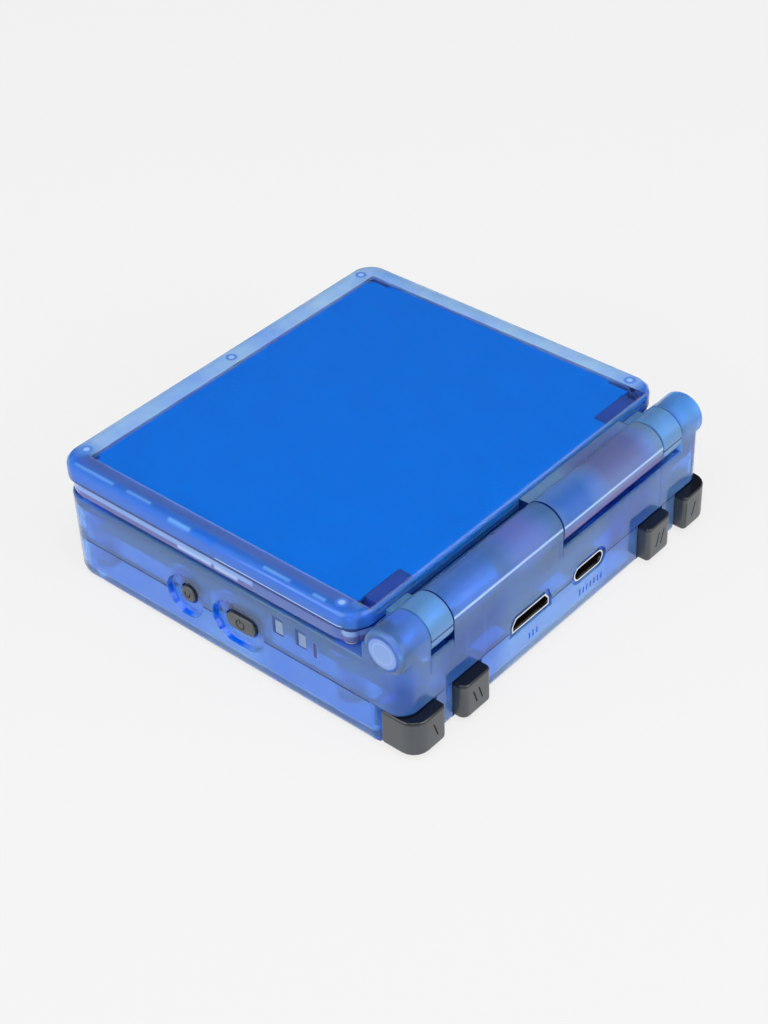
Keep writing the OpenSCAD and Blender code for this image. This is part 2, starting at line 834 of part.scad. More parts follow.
// Chips on the board, each as width, depth, height and place from the middle
module board_chips() {
    rear = board_y - 13;
    front = board_y - 10;
    side = board_w / 2 - 8;
    on_top = [
        [ribbon_w, 3, connector_h, ribbon_x + ribbon_w / 2, ribbon_end_y],
        [6, 6, 1, -2, rear], [4, 3, 1, -14, rear - 2], [3, 3, 0.8, 14, rear - 7],
        [5, 4, 1, 0, small_y - 8], [3, 5, 0.9, 10, -front], [3, 3, 0.8, -11, -front]
    ];
    below = [
        [8, 5, 1.6, side, -front + 8], [4, 4, 1.2, -side, rear - 7], [5, 5, 1.4, side - 4, rear - 4],
        [6, 4, 1.4, 12, 4]
    ];
    color([0.12, 0.12, 0.14]) {
        for (c = on_top)
            translate([c[3] - c[0] / 2, c[4] - c[1] / 2, board_z1]) cube([c[0], c[1], c[2]]);
        for (c = below)
            translate([c[3] - c[0] / 2, c[4] - c[1] / 2, board_z0 - c[2]]) cube([c[0], c[1], c[2]]);
        for (y = light_places)
            box(half_w - light_d - 0.3, half_w - base_wall - 0.1, y - light_w / 2 - lamp_gap - lamp_w,
                y - light_w / 2 - lamp_gap, board_z1, board_z1 + lamp_h);
    }
}

module battery() {
    color([0.68, 0.70, 0.74])
    soft_box(-battery_w / 2, battery_w / 2, battery_y - battery_d / 2, battery_y + battery_d / 2, 2,
        floor_t + battery_rise, floor_t + battery_rise + battery_t, 0.8, 0.8, small_steps);
}

module video_port() {
    color(steel)
    difference() {
        along_y(video_x, video_z, half_d - port_depth, half_d - 0.1) video_outline(0);
        along_y(video_x, video_z, half_d - port_depth + 1, half_d + over) video_outline(-shell_metal);
    }
    color([0.06, 0.06, 0.07])
    box(video_x - video_w / 2 + video_slope + 0.5, video_x + video_w / 2 - video_slope - 0.5,
        half_d - port_depth + 1 - 0.1, half_d - 1, video_z - tongue_h / 2, video_z + tongue_h / 2);
}

// Round-ended port with a tongue, mouth towards +Y at y
module usb_port(x, y) {
    r = usb_h / 2;
    tongue_w = usb_w - 2.3;
    color(steel) {
        difference() {
            along_y(x, usb_z, y - port_depth, y) oval(usb_w - usb_h, r);
            along_y(x, usb_z, y - port_depth + 1, y + over) oval(usb_w - usb_h, r - shell_metal);
        }
        for (dx = [-1, 1], dy = [1.5, 4])
            box(x + dx * 2 - 0.5, x + dx * 2 + 0.5, y - port_depth + dy, y - port_depth + dy + 1,
                usb_z + r - 0.1, board_z0);
    }
    color([0.06, 0.06, 0.07])
    box(x - tongue_w / 2, x + tongue_w / 2, y - port_depth + 1 - 0.1, y - 1,
        usb_z - tongue_h / 2, usb_z + tongue_h / 2);
}

module rear_usb_port() {
    usb_port(usb_x, half_d - 0.1);
}

module charging_port() {
    rotate(180) usb_port(0, half_d - 0.1);
}

module headphone_jack() {
    color([0.10, 0.10, 0.11])
    difference() {
        union() {
            along_y(jack_x, jack_z, 0.1 - half_d, jack_l - half_d) circle(r = jack_r_out);
            box(jack_x - jack_r_out, jack_x + jack_r_out, base_wall + 0.4 - half_d, jack_l - half_d,
                jack_z - jack_r_out, board_z0);
        }
        along_y(jack_x, jack_z, -half_d - over, jack_l - 1 - half_d) circle(r = jack_r);
    }
}

module card_sockets() {
    x0 = base_wall + 0.3 - half_w;
    color(steel)
    for (y = card_places) difference() {
        box(x0, x0 + card_l, y - card_w / 2, y + card_w / 2, board_z0 - card_h, board_z0);
        box(x0 - over, x0 + card_l - 1, y - card_slot_w / 2, y + card_slot_w / 2,
            board_z0 - (card_h + card_slot_h) / 2, board_z0 - (card_h - card_slot_h) / 2);
    }
}

module speakers() {
    r = speaker_w / 2;
    color([0.15, 0.15, 0.16])
    for (side = [-1, 1]) translate([side * speaker_x, speaker_y, board_z1])
        difference() {
            linear_extrude(deck_under - board_z1) oval(speaker_l - speaker_w, r);
            translate([0, 0, 2.2]) linear_extrude(deck_under) oval(speaker_l - speaker_w, r - 0.8);
        }
}

// Rubber dome on the board
module dome(place, r, top) {
    z0 = board_z1 + sheet_t;
    translate([place[0], place[1], z0 - 0.1]) cylinder(r1 = r, r2 = r * 0.7, h = top - z0 + 0.1);
}

module dpad_membrane() {
    dome_reach = dpad_reach - 3;
    dome_top = dpad_flange_top - flange_t - (dome_reach + 2) * sin(dpad_tilt) - dome_gap;
    color(rubber_grey)
    difference() {
        translate([-group_x, group_y, 0]) {
            post([0, 0], dpad_reach + 0.8, board_z1, board_z1 + sheet_t);
            for (turn = [0:90:270]) rotate(turn) dome([dome_reach, 0], 2.4, dome_top);
        }
        post([-group_x, group_y], pivot_r + 0.3, board_z1 - over, board_z1 + 3);
    }
}

module face_button_membrane() {
    color(rubber_grey)
    translate([group_x, group_y, 0]) {
        post([0, 0], button_reach + 3.6, board_z1, board_z1 + sheet_t);
        for (step = face_places)
            dome(step * button_reach, 2.6, flange_low - button_travel - dome_gap);
    }
}

module menu_membranes() {
    color(rubber_grey) {
        translate([0, small_y, board_z1]) linear_extrude(sheet_t) oval(2 * select_x, 2.6);
        post([0, menu_y], 3, board_z1, board_z1 + sheet_t);
        for (place = [[-select_x, small_y], [select_x, small_y], [0, menu_y]])
            dome(place, 1.8, flange_low - small_travel - dome_gap);
    }
}

// Side-acting switch under the board, its plunger towards +Y with the tip at y
module edge_switch(y, l, z) {
    color([0.16, 0.16, 0.17])
    box(-l / 2, l / 2, y - stem_l - switch_d, y - stem_l, z - stem_h, board_z0);
    color([0.75, 0.30, 0.12])
    box(-stem_w / 2, stem_w / 2, y - stem_l, y, z - stem_h / 2, z + stem_h / 2);
}

module shoulder_switches() {
    tip = half_d - shoulder_root - shoulder_travel - dome_gap;
    z = (parting_h + tongue_top) / 2 + 0.1;
    for (side = [-1, 1]) {
        translate([side * (inner_shoulder_x + inner_shoulder_l / 2), 0])
            edge_switch(tip, switch_l, z);
        translate([side * (outer_shoulder_x + tongue_l / 2), 0]) edge_switch(tip, small_switch_l, z);
    }
}

module side_switches() {
    tip = flange_x - side_flange_t - side_travel - dome_gap;
    for (y = [reset_y, power_y])
        translate([0, y]) rotate(-90) edge_switch(tip, switch_l, parting_h + 0.1);
    mirror([1, 0, 0]) for (end = [-1, 1])
        translate([0, volume_y + end * (volume_straight / 2 - 1.1)]) rotate(-90)
            edge_switch(tip, switch_l, parting_h + 0.1);
}

module light_pipes() {
    color([0.80, 0.86, 0.98])
    for (y = light_places)
        box(half_w - light_d, half_w - 0.05, y - light_w / 2, y + light_w / 2, light_z0, light_z1);
}

module hinge_cap() {
    color(shell_blue) rod_x(half_w - cap_t, half_w, cap_r);
}

module hinge_cap_right() {
    hinge_cap();
}

module hinge_cap_left() {
    mirror([1, 0, 0]) hinge_cap();
}

module hinge_friction_unit() {
    x1 = ring_inner - barrel_gap;
    color(steel) {
        rod_x(x1 - friction_l, x1 - 2.4, friction_r);
        rod_x(x1 - 2.5, x1, friction_r - 0.5);
        rod_x(x1 - 0.1, pin_end, pin_r);
    }
}

module hinge_pin_left() {
    color(steel)
    difference() {
        rod_x(-pin_end, -ring_inner + 4, pin_r);
        rod_x(-pin_end - over, -ring_inner + 4 + over, pin_r - 0.5);
    }
}

// Flat cable wound on the hinge axis: an outline made of an outer and an inner spiral
module ribbon_roll(x0, x1) {
    steps = 24 * ribbon_turns;
    spiral = [for (i = [0:steps]) [360 * ribbon_turns * i / steps,
        ribbon_r - ribbon_pitch * (ribbon_turns - ribbon_turns * i / steps)]];
    outer = [for (s = spiral) s[1] * [cos(s[0]), sin(s[0])]];
    inner = [for (i = [steps:-1:0]) (spiral[i][1] - ribbon_t) * [cos(spiral[i][0]), sin(spiral[i][0])]];
    along_x(hinge_y, hinge_z, x0, x1) polygon(concat(outer, inner));
}

module ribbon_cable_base() {
    y = ribbon_y + (ribbon_slot + ribbon_t) / 2;
    z = board_z1 + connector_h + 0.1;
    color(copper) {
        ribbon_roll(barrel_gap, ribbon_x + ribbon_w);
        box(ribbon_x, ribbon_x + ribbon_w, y - ribbon_t, y, z, hinge_z - ribbon_r / 2);
        box(ribbon_x, ribbon_x + ribbon_w, ribbon_end_y, y, z, z + ribbon_t);
    }
}

module ribbon_cable_lid() {
    z = plate_under - 0.15 - ribbon_t;
    color(copper) {
        ribbon_roll(-ribbon_run, -barrel_gap);
        box(-ribbon_x - ribbon_w, -ribbon_x, lid_rear - ribbon_w, ribbon_y + 2 * ribbon_t - 0.1, z,
            z + ribbon_t);
    }
}

// Clips that hold the two halves of the lid, as place and length along the side
module lid_clips(z0, z1, depth) {
    half_l = 3.7;
    front_x = 23;
    side_y = -5.4;
    inner_x = half_w - lid_wall;
    inner_y = lid_wall - half_d;
    both_sides() {
        box(front_x - half_l, front_x + half_l, inner_y - 0.2, inner_y + depth, z0, z1);
        box(inner_x - depth, inner_x + 0.2, side_y - half_l, side_y + half_l, z0, z1);
    }
}

module lid_cover() {
    plate_slit_x = half_w - 5;
    color(shell_blue)
    difference() {
        union() {
            difference() {
                soft_box(-half_w, half_w, -half_d, lid_rear, cover_corner_r, cover_z0, lid_top,
                    0.3, cover_edge_r);
                soft_box(lid_wall - half_w, half_w - lid_wall, lid_wall - half_d, lid_rear - lid_wall,
                    cover_corner_r - lid_wall, cover_z0 - over, roof_under);
            }
            for (place = lid_posts) post(place, lid_boss_r, cover_z0, roof_under + roof_t / 2);
            lid_clips(cover_z0, plate_under, 0.9);
        }
        box(-plate_slit_x, plate_slit_x, lid_rear - lid_wall - over, lid_rear + over,
            plate_under - 0.1, roof_under);
        box(-ribbon_x - ribbon_w - 0.5, 0.5 - ribbon_x, lid_rear - lid_wall - over, lid_rear + over,
            ribbon_low, plate_under);
        for (place = lid_posts) post(place, lid_screw_r + pin_clear, cover_z0 - over, roof_under - 0.4);
    }
}

// Raised block inside the lid at the root of a ring's arm
module arm_root() {
    box(root_x0, root_x1, root_y0, lid_rear - lid_wall / 2, panel_z0 - 0.3, bezel_top);
    box(root_x0, root_x1, root_y0, root_y1, bezel_top - 0.1, roof_under - plate_gap);
}

// Ring of the lid round a hinge pin, with the arm that carries it, on the right side
module lid_ring() {
    x0 = ring_inner + barrel_gap / 2;
    x1 = ring_outer - barrel_gap / 2;
    arm_low = lid_z0 + 1;
    arm_high = hinge_z + 1.7;
    arm_root();
    intersection() {
        union() {
            rod_x(x0, x1, barrel_r);
            box(x0, x1, lid_rear - lid_wall / 2, hinge_y - 3, arm_low, bezel_top);
            box(x0, x1, lid_rear + 0.1, hinge_y - 3, arm_low, arm_high);
        }
        box(x0, x1, 0, half_d, 0, 2 * lid_top);
    }
}

module lid_bezel() {
    inner = [half_w - bezel_inset - lid_wall, lid_wall + bezel_inset - half_d, lid_rear - lid_wall];
    color(shell_blue)
    difference() {
        union() {
            difference() {
                soft_box(bezel_inset - half_w, half_w - bezel_inset, bezel_inset - half_d, lid_rear,
                    bezel_corner_r, lid_z0, bezel_top, 0.8);
                soft_box(-inner[0], inner[0], inner[1], inner[2], bezel_corner_r - lid_wall,
                    panel_z0, bezel_top + over);
            }
            for (place = lid_posts) post(place, lid_boss_r, lid_z0 + 0.4, cover_z0);
            both_sides() lid_ring();
        }
        soft_box(-lens_w / 2 - lens_clear, lens_w / 2 + lens_clear, display_y - lens_d / 2 - lens_clear,
            display_y + lens_d / 2 + lens_clear, lens_corner_r, lid_z0 - over, ledge_z);
        box(-window_w / 2, window_w / 2, display_y - window_d / 2, display_y + window_d / 2,
            lid_z0 - over, panel_z0 + over);
        both_sides() rod_x(ring_inner, ring_outer, pin_r + pin_clear);
        for (place = lid_posts) {
            post(place, lid_boss_r - 0.3, lid_z0 - over, lid_z0 + 1.3);
            post(place, lid_screw_r + screw_clear, lid_z0, cover_z0 + over);
        }
    }
}

module lid_barrel_cover() {
    x0 = -ring_inner + barrel_gap / 2;
    x1 = -barrel_gap / 2;
    color(shell_blue)
    difference() {
        intersection() {
            union() {
                rod_x(x0, x1, barrel_r);
                box(x0, x1, lid_rear, hinge_y - 3, hinge_z, lid_top - 1);
            }
            box(x0, x1, 0, half_d, 0, 2 * lid_top);
        }
        rod_x(x0 + barrel_end_wall, x1 + over, barrel_bore_r);
        rod_x(x0 - over, x0 + barrel_end_wall + over, pin_r + pin_clear);
        box(-ribbon_x - ribbon_w - 0.5, 0.5 - ribbon_x, lid_rear - over, hinge_y - 1.5,
            ribbon_low, plate_under + 0.1);
    }
}

module screen_lens() {
    color([0.05, 0.05, 0.07])
    soft_box(-lens_w / 2, lens_w / 2, display_y - lens_d / 2, display_y + lens_d / 2,
        lens_corner_r - lens_clear, ledge_z - lens_t, ledge_z, 0.3, 0, small_steps);
}

module display_panel() {
    color([0.30, 0.31, 0.34])
    box(-panel_w / 2, panel_w / 2, display_y - panel_d / 2, display_y + panel_d / 2,
        panel_z0, panel_z0 + panel_t);
}

// Opaque plate under the roof, cut back at its front corners and in front of the arm roots
module lid_backing_plate() {
    x = half_w - 5.1;
    front = 5 - half_d;
    rear = lid_rear - 0.3;
    color(plate_blue)
    translate([0, 0, plate_under]) linear_extrude(plate_t) difference() {
        union() {
            translate([-x, front]) square([2 * x, rear - front]);
            translate([-x - 1, front + 5]) square([2 * x + 2, rear - front - 13.5]);
        }
        for (side = [-1, 1]) {
            translate([side * (half_w + root_x0 - 0.1) / 2, rear]) square([half_w - root_x0 + 0.1,
                2 * (rear - root_y0 + 0.1)], center = true);
            translate([side * x, front]) square([2, 2], center = true);
        }
        for (place = lid_posts) translate(place) circle(r = lid_boss_r + 0.2);
    }
}

module lid_screws() {
    color(steel)
    for (place = lid_posts) {
        post(place, lid_head_r, lid_z0 + 0.5, lid_z0 + 1.3);
        post(place, lid_screw_r, lid_z0 + 1.2, roof_under - 0.6);
    }
}

module lid_bumpers() {
    color(rubber_grey)
    for (place = lid_posts) post(place, lid_boss_r - 0.4, lid_z0 - 0.2, lid_z0 + 0.5);
}

module lid_magnet() {
    color(steel)
    box(10, 18, lid_wall + bezel_inset + 0.2 - half_d, display_y - panel_d / 2 - 0.3,
        panel_z0, panel_z0 + 1);
}

module dpad_pivot() {
    color(key_grey)
    translate([-group_x, group_y, dpad_pivot_z]) sphere(r = pivot_r);
}

module dpad() {
    low = dpad_flange_top - flange_t;
    color(key_grey)
    translate([-group_x, group_y, 0]) difference() {
        union() {
            for (turn = [0, 90]) rotate(turn)
                soft_box(-dpad_reach, dpad_reach, -dpad_arm / 2, dpad_arm / 2, 1.2,
                    dpad_flange_top - 0.1, dpad_top, 0, 0.6, small_steps);
            translate([0, 0, low]) linear_extrude(flange_t) cross(1.3);
        }
        translate([0, 0, dpad_pivot_z]) sphere(r = pivot_r + pin_clear);
        translate([0, 0, dpad_top + hollow_r - hollow_depth]) sphere(r = hollow_r);
    }
}

// Round face button: a domed cap over a keyed flange
module face_button(step, top_r = 14) {
    sag = top_r - sqrt(top_r * top_r - button_r * button_r);
    edge = 0.4;
    color(key_grey)
    translate([group_x, group_y] + step * button_reach) {
        intersection() {
            translate([0, 0, flange_low]) rotate_extrude()
                polygon([[0, 0], [button_r, 0], [button_r, key_top - flange_low - sag - edge],
                         [button_r - edge, key_top - flange_low - sag], [button_r - edge, 9], [0, 9]]);
            translate([0, 0, key_top - top_r]) sphere(r = top_r);
        }
        translate([0, 0, flange_low]) cylinder(r = button_r + flange_lip, h = flange_t);
    }
}

module button_a() {
    face_button(face_places[0]);
}

module button_b() {
    face_button(face_places[1]);
}

module button_x() {
    face_button(face_places[2]);
}

module button_y() {
    face_button(face_places[3]);
}

// Small oval key of the middle row
module oval_key(x) {
    half_l = small_button_l / 2;
    r = small_button_w / 2;
    color(key_grey)
    translate([x, small_y, 0]) {
        soft_box(-half_l, half_l, -r, r, r - 0.01, flange_low, key_top - 0.2, 0, 0.4, small_steps);
        translate([0, 0, flange_low]) linear_extrude(flange_t) oval(2 * (half_l - r), r + flange_lip);
    }
}

module button_start() {
    oval_key(select_x);
}

module button_select() {
    oval_key(-select_x);
}

module button_menu() {
    color(key_grey) {
        post([0, menu_y], menu_r, flange_low, key_top - 0.4);
        post([0, menu_y], menu_r - 0.3, flange_low, key_top - 0.2);
        post([0, menu_y], menu_r + flange_lip, flange_low, flange_low + flange_t);
    }
}

// Tongue on top of a shoulder button: it works the switch and keeps the button in the shell
module shoulder_tongue(x0, x1) {
    box(x0, x1, half_d - shoulder_root, half_d - base_wall - tongue_clear, shoulder_top - over,
        tongue_top);
}

// Inner shoulder button on the right side, standing out through the rear wall
module inner_shoulder() {
    face_y = half_d + shoulder_proud;
    color(key_grey) {
        difference() {
            soft_box(inner_shoulder_x, inner_shoulder_end, half_d - shoulder_root, face_y,
                [1, 1.5, 0.9, 1], shoulder_low, shoulder_top, shoulder_low_edge,
                shoulder_top_edge, small_steps);
            along_y(inner_shoulder_x + inner_shoulder_l / 2, (shoulder_low + shoulder_top) / 2,
                face_y - sign_cut, face_y + over) bar_sign(2);
        }
        shoulder_tongue(inner_shoulder_x + 1, inner_shoulder_end - 1);
    }
}

// Outer shoulder button on the right side, wrapping round the rear corner
module outer_shoulder() {
    face_y = half_d + shoulder_proud - 0.1;
    color(key_grey) {
        difference() {
            soft_box(outer_shoulder_x, half_w, outer_shoulder_y, face_y,
                [0.9, rear_corner_r, 0.9, 1], shoulder_low, shoulder_top, shoulder_low_edge,
                shoulder_top_edge, small_steps);
            along_y(outer_shoulder_x + 2.9, (shoulder_low + shoulder_top) / 2, face_y - sign_cut,
                face_y + over) bar_sign(1);
        }
        shoulder_tongue(outer_shoulder_x + 0.4, outer_shoulder_x + tongue_l);
    }
}

module shoulder_r2() {
    inner_shoulder();
}

module shoulder_l2() {
    mirror([1, 0, 0]) inner_shoulder();
}

module shoulder_r1() {
    outer_shoulder();
}

module shoulder_l1() {
    mirror([1, 0, 0]) outer_shoulder();
}

// Button on the right side: an oval head with a rounded face, and a flange behind the wall
module side_button(y, straight, flange_straight) {
    r = side_button_h / 2;
    face_x = half_w - side_face_drop;
    color(key_grey) {
        translate([flange_x, y, parting_h]) rotate([0, 90, 0])
            soft_box(-r, r, -straight / 2 - r, straight / 2 + r, r - 0.01,
                -side_flange_t / 2, face_x - flange_x, 0, 0.4, small_steps);
        along_x(y, parting_h, flange_x - side_flange_t, flange_x)
            oval(flange_straight, r + side_flange_lip);
    }
}

module power_button() {
    color(key_grey) difference() {
        side_button(power_y, power_straight, power_straight);
        along_x(power_y, parting_h, half_w - side_face_drop - sign_cut, half_w) power_sign();
    }
}

module reset_button() {
    color(key_grey) difference() {
        side_button(reset_y, 0, 0);
        along_x(reset_y, parting_h, half_w - side_face_drop - sign_cut, half_w) reset_sign();
    }
}

module volume_rocker() {
    mirror([1, 0, 0]) side_button(volume_y, volume_straight, volume_straight - rocker_less);
}

base_upper_shell();
base_lower_shell();
base_screws();
main_board();
shield_can();
board_chips();
battery();
video_port();
rear_usb_port();
charging_port();
headphone_jack();
card_sockets();
speakers();
dpad_membrane();
face_button_membrane();
menu_membranes();
shoulder_switches();
side_switches();
light_pipes();
hinge_cap_right();
hinge_cap_left();
hinge_friction_unit();
hinge_pin_left();
ribbon_cable_base();
lid_cover();
lid_bezel();
lid_barrel_cover();
screen_lens();
display_panel();
lid_backing_plate();
lid_screws();
lid_bumpers();
lid_magnet();
ribbon_cable_lid();
dpad_pivot();
dpad();
button_a();
button_b();
button_x();
button_y();
button_start();
button_select();
button_menu();
shoulder_l1();
shoulder_l2();
shoulder_r1();
shoulder_r2();
power_button();
reset_button();
volume_rocker();
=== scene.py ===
"""Finishes, light and camera for the clamshell game console.

Every piece is in metres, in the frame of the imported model: the origin is the middle of the
underside, +X is the side with the power button, +Y is the hinge edge and +Z is up. Places on the
console are written in millimetres and converted where they meet a node.
"""

import math

import bmesh
import bpy
from mathutils import Matrix, Vector


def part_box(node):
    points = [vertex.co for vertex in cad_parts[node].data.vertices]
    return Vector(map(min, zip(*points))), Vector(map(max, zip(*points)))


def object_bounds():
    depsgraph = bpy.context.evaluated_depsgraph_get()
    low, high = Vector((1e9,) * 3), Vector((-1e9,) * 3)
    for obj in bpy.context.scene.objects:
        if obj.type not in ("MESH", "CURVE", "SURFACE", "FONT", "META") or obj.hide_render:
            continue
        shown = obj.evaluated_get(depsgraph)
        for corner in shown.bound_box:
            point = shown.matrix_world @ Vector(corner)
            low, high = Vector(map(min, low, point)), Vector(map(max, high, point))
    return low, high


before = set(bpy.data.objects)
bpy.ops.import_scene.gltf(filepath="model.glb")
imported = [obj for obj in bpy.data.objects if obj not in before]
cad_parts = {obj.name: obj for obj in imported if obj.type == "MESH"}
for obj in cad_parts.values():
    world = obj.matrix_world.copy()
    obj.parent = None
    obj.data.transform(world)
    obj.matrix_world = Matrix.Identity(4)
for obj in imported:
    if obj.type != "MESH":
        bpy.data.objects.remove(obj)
cad_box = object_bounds()

MM = 0.001


def mm(*values):
    """Lengths in millimetres as a tuple in metres."""
    return tuple(value * MM for value in values)


# Places on the console, in millimetres; points on it are (x, y)
SIDE_X = 44.5            # outer face of the right wall
REAR_Y = 42.5            # outer face of the rear wall
HINGE_Y = 38             # axis of the barrels
PARTING_Z = 9.4          # between the base shells; the side buttons sit at the same height
LID_SEAM_Z = 22.35       # between the two halves of the lid
ROOF_Z = 26              # just under the top of the lid
SIDE_BUTTONS = (         # y, half of the straight length, reach of the sign
    (-10.2, 0, 0.9),
    (3.2, 1.9, 1.3))
PIPE_Y = (13.7, 19.2)    # light pipes in the right wall
SHOULDER_SIGNS = ((27.75, 44.85), (-27.75, 44.85), (39.2, 44.75), (-39.2, 44.75))
LID_SCREWS = ((0, -39.6), (39, -39.6), (-39, -39.6), (41.9, 26.9), (-41.9, 26.9))
REAR_RIBS = (            # upright ribs behind the rear wall: x, middle z, half height
    (-17.3, 18.8, 1), (-19.4, 18.4, 1.8), (-23.2, 18.4, 2.1), (-25.7, 17.8, 2),
    (-30.7, 13.8, 5.5), (1.1, 19.5, 2), (37.3, 18.1, 2.6), (33.3, 12.5, 4.5),
    (27.5, 14.5, 3.5), (22.6, 14.3, 4.4))
RIM_HIGHLIGHTS = (          # painted highlights on the right rim of the lid: x, y, half length
    (43.1, -21.3, 2.9), (43.3, -33, 5), (43.9, -10.2, 2.5), (43.3, 13.1, 2.9), (43.3, 23, 1.2))

# Outlines seen from above, in metres: middle, half sizes, corner radius
BASE = ((0, 0), mm(SIDE_X, REAR_Y), 6 * MM)
FOOT = ((0, 0), mm(43.6, 41.6), 6 * MM)
COVER = ((0, -5.15 * MM), mm(44.1, 36.95), 5 * MM)
BEZEL = ((0, -5.03 * MM), mm(44.25, 37.22), 6.2 * MM)

BACKGROUND = (0.905, 0.905, 0.905, 1)
NAVY = (0.004, 0.02, 0.13)
# Painted shade on the edges of the light pipe windows
WINDOW_SHADE = (0.02, 0.05, 0.22)
HIGHLIGHT = (0.50, 0.68, 1.0)
BLUE_DYE = ((0.2, 0.6, 0.98), 80)


# Camera

def make_camera(azimuth, elevation, roll, position, lens):
    """Camera that looks down at the object. Azimuth 0 looks along +Y; angles are in degrees."""
    a, e, r = (math.radians(angle) for angle in (azimuth, elevation, roll))
    back = Vector((math.sin(a) * math.cos(e), -math.cos(a) * math.cos(e), math.sin(e)))
    right = Vector((0, 0, 1)).cross(back).normalized()
    up = back.cross(right)
    x_axis = math.cos(r) * right + math.sin(r) * up
    y_axis = math.cos(r) * up - math.sin(r) * right
    data = bpy.data.cameras.new("camera")
    data.lens = lens
    data.clip_start = 0.01
    camera = bpy.data.objects.new("camera", data)
    turn = Matrix((x_axis, y_axis, back)).transposed()
    camera.matrix_world = Matrix.Translation(position) @ turn.to_4x4()
    bpy.context.collection.objects.link(camera)
    bpy.context.scene.camera = camera


# Node trees

def feed(tree, socket, term):
    """Gives a socket its term: a number, a vector or another node's output."""
    if isinstance(term, bpy.types.NodeSocket):
        tree.links.new(term, socket)
    else:
        socket.default_value = term


def number(tree, operation, *terms):
    """Output of a Math node."""
    node = tree.nodes.new("ShaderNodeMath")
    node.operation = operation
    for socket, term in zip(node.inputs, terms):
        feed(tree, socket, term)
    return node.outputs["Value"]


def vector(tree, operation, *terms):
    """Output of a Vector Math node: a number for a length or a dot product, else a vector."""
    node = tree.nodes.new("ShaderNodeVectorMath")
    node.operation = operation
    for socket, term in zip(node.inputs, terms):
        feed(tree, socket, term)
    return node.outputs["Value" if operation in ("LENGTH", "DOT_PRODUCT") else "Vector"]


def object_place(tree):
    """The object's own coordinates, in metres."""
    return tree.nodes.new("ShaderNodeTexCoord").outputs["Object"]


def along(tree, axis):
    """One of the object's own coordinates, X, Y or Z, in metres."""
    split = tree.nodes.new("ShaderNodeSeparateXYZ")
    tree.links.new(object_place(tree), split.inputs["Vector"])
    return split.outputs[axis]


def ramp(tree, value, start, end, low=0.0, high=1.0):
    """Goes from low at start to high at end, and stays within them."""
    node = tree.nodes.new("ShaderNodeMapRange")
    for name, term in (("From Min", start), ("From Max", end), ("To Min", low), ("To Max", high)):
        node.inputs[name].default_value = term
    tree.links.new(value, node.inputs["Value"])
    return node.outputs["Result"]


# Masks

def distance(tree, middle, half):
    """Distance in metres from a box, 0 inside it."""
    offset = vector(tree, "SUBTRACT", object_place(tree), middle)
    beyond = vector(tree, "SUBTRACT", vector(tree, "ABSOLUTE", offset), half)
    return vector(tree, "LENGTH", vector(tree, "MAXIMUM", beyond, (0, 0, 0)))


def outside(tree, middle, half, radius, edge):
    """1 outside a rounded rectangle seen from above, 0 inside, over an edge of some width."""
    core = (half[0] - radius, half[1] - radius, 1)
    return ramp(tree, distance(tree, (*middle, 0), core), radius - edge, radius)


def near(tree, fade, boxes):
    """1 in some boxes, 0 at a fade beyond them. A box is its middle and its half sizes, in mm."""
    total = 0.0
    for middle, half in boxes:
        reach = distance(tree, mm(*middle), mm(*half))
        total = number(tree, "MAXIMUM", ramp(tree, reach, fade * MM, 0), total)
    return total


# Materials

def principled(material):
    """The one shader of a material."""
    return material.node_tree.nodes["Principled BSDF"]


def new_material(name):
    """Empty material: returns it with its node tree and its Principled shader."""
    material = bpy.data.materials.new(name)
    material.use_nodes = True
    return material, material.node_tree, principled(material)


def blend_in(material, name, mask, target):
    """Moves one input of the Principled shader towards a target where the mask is 1."""
    tree = material.node_tree
    socket = principled(material).inputs[name]
    mix = tree.nodes.new("ShaderNodeMix")
    is_colour = socket.type == "RGBA"
    mix.data_type = "RGBA" if is_colour else "FLOAT"
    # A Mix node lists its sockets for numbers, vectors and colours one after another
    from_index, to_index, result_index = (6, 7, 2) if is_colour else (2, 3, 0)
    if socket.links:
        tree.links.new(socket.links[0].from_socket, mix.inputs[from_index])
    else:
        mix.inputs[from_index].default_value = socket.default_value
    mix.inputs[to_index].default_value = (*target, 1) if is_colour else target
    tree.links.new(mask, mix.inputs["Factor"])
    tree.links.new(mix.outputs[result_index], socket)


def tint(material, mask, colour, clear):
    """Colours part of a plastic, and makes it as clear as a number from 0 to 1 says."""
    blend_in(material, "Base Color", mask, colour)
    blend_in(material, "Transmission Weight", mask, clear)


def tint_boxes(material, *rows):
    """Colours a plastic in some boxes, row by row, each row over the ones before.

    A row is a fade and boxes, as near() takes them, then a colour and a clearness.
    """
    for fade, boxes, colour, clear in rows:
        tint(material, near(material.node_tree, fade, boxes), colour, clear)


def add_seam(material, level, width, outline):
    """Dark line round a shell's outer face, at a level and of a width in millimetres."""
    tree = material.node_tree
    line = number(tree, "COMPARE", along(tree, "Z"), level * MM, width / 2 * MM)
    mask = number(tree, "MULTIPLY", line, outside(tree, *outline, 0.1 * MM))
    tint(material, mask, NAVY, 0.1)


def object_noise(tree, scale):
    """Noise over the object's own coordinates. Scale is in cycles per metre."""
    noise = tree.nodes.new("ShaderNodeTexNoise")
    noise.inputs["Scale"].default_value = scale
    noise.inputs["Detail"].default_value = 3
    tree.links.new(object_place(tree), noise.inputs["Vector"])
    return noise.outputs["Fac"]


